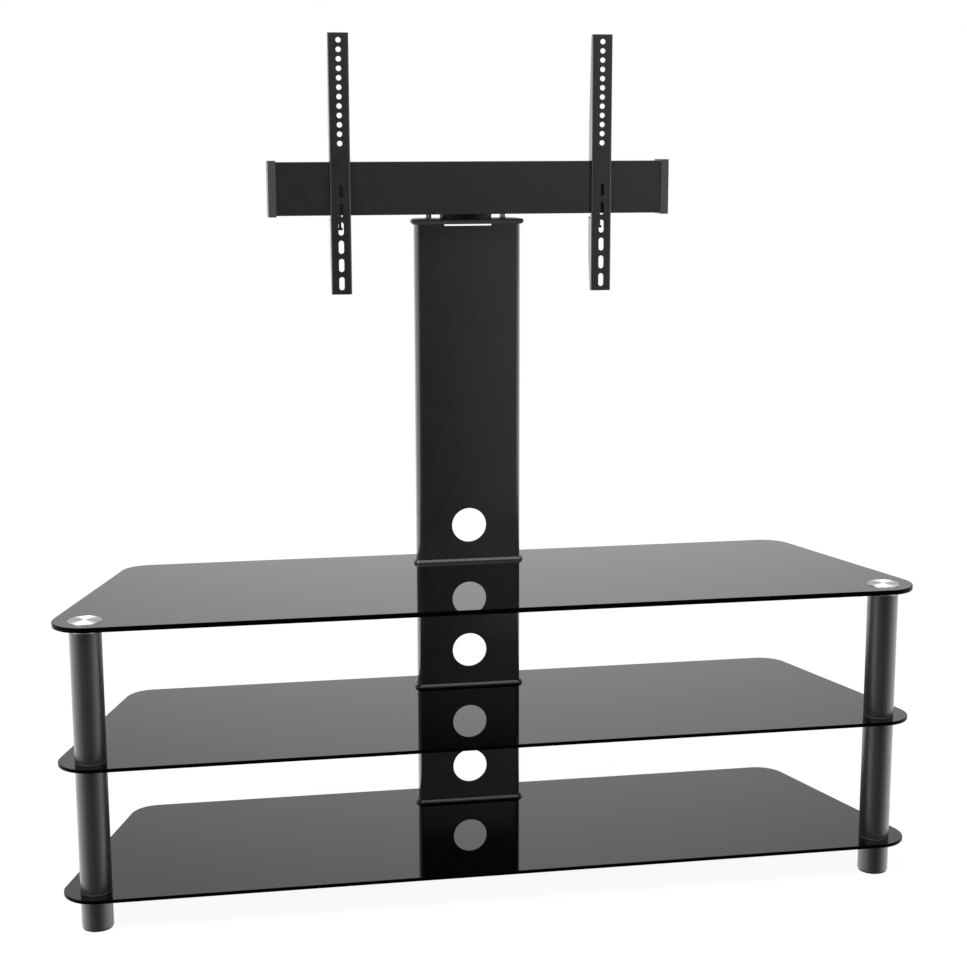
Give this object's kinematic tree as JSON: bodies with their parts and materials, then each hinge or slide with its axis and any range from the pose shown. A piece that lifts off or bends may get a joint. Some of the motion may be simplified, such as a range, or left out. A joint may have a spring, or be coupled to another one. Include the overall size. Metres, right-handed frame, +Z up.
{
  "type": "tv stand with mount",
  "caption": "Floor stand of glass shelves on tubular legs and an open-backed cable column, topped by a swivelling crossbar with sliding arms for a television.",
  "frame": {"origin": "on the floor, midway across the width and midway through the depth of the shelves", "axes": "+X to the viewer's right, +Y to the back, +Z up; the front faces -Y"},
  "size_m": [1.4, 0.41, 1.399],
  "materials": {
    "smoked_glass": "tempered, smoked black, polished edge",
    "charcoal_tube": "satin charcoal paint",
    "black_powder_coat": "fine satin powder coat",
    "zinc_plate": "bright bluish zinc plate",
    "spun_aluminium": "circular brushed",
    "rubber": "matt",
    "black_nylon": "smooth",
    "cap_plastic": "fine moulded grain"
  },
  "bodies": {
    "stand": {"glass_shelf_top": "smoked_glass", "glass_shelf_middle": "smoked_glass", "glass_shelf_bottom": "smoked_glass", "upper_tube_left": "charcoal_tube", "upper_tube_right": "charcoal_tube", "lower_tube_left": "charcoal_tube", "lower_tube_right": "charcoal_tube", "foot_tube_left": "charcoal_tube", "foot_tube_right": "charcoal_tube", "column_upper": "black_powder_coat", "column_middle": "black_powder_coat", "column_lower": "black_powder_coat", "column_foot": "black_powder_coat", "collar_top": "black_powder_coat", "collar_middle": "black_powder_coat", "collar_bottom": "black_powder_coat", "base_plate": "black_powder_coat", "column_cap": "black_powder_coat", "cap_screws": "black_powder_coat", "tube_plugs_left": "zinc_plate", "tube_plugs_right": "zinc_plate", "leg_studs_left": "zinc_plate", "leg_studs_right": "zinc_plate", "top_boss_left": "zinc_plate", "top_boss_right": "zinc_plate", "tie_bolts": "zinc_plate", "tie_nuts": "zinc_plate", "pivot_bolt": "zinc_plate", "pivot_nut": "zinc_plate", "top_disc_left": "spun_aluminium", "top_disc_right": "spun_aluminium", "glass_washers_left": "rubber", "glass_washers_right": "rubber", "foot_glide_left": "rubber", "foot_glide_right": "rubber", "column_pads": "rubber", "base_glides": "rubber", "swivel_disc": "black_nylon"},
    "crossbar_head": {"swivel_bracket": "black_powder_coat", "limit_bolts": "zinc_plate", "limit_nuts": "zinc_plate", "bar_bolts": "zinc_plate", "bar_nuts": "zinc_plate", "crossbar": "black_powder_coat", "bar_end_cap_left": "cap_plastic", "bar_end_cap_right": "cap_plastic"},
    "arm_left": {"bracket_arm_left": "black_powder_coat", "lock_tab_left": "black_powder_coat"},
    "arm_right": {"bracket_arm_right": "black_powder_coat", "lock_tab_right": "black_powder_coat"},
    "screw_left": {"lock_screw_left": "black_powder_coat"},
    "screw_right": {"lock_screw_right": "black_powder_coat"}
  },
  "joints": [
    {"name": "swivel", "type": "hinge", "parent": "stand", "child": "crossbar_head", "pos_m": [0, 0.15, 1.1], "axis": [0, 0, 1], "range_deg": [-15, 15]},
    {"name": "arm_left_slide", "type": "slide", "parent": "crossbar_head", "child": "arm_left", "axis": [1, 0, 0], "range_m": [-0.085, 0.11]},
    {"name": "arm_right_slide", "type": "slide", "parent": "crossbar_head", "child": "arm_right", "axis": [1, 0, 0], "range_m": [-0.11, 0.085]},
    {"name": "lock_left_travel", "type": "slide", "parent": "arm_left", "child": "screw_left", "axis": [0, 0, 1], "range_m": [-0.006, 0]},
    {"name": "lock_right_travel", "type": "slide", "parent": "arm_right", "child": "screw_right", "axis": [0, 0, 1], "range_m": [-0.006, 0]}
  ]
}
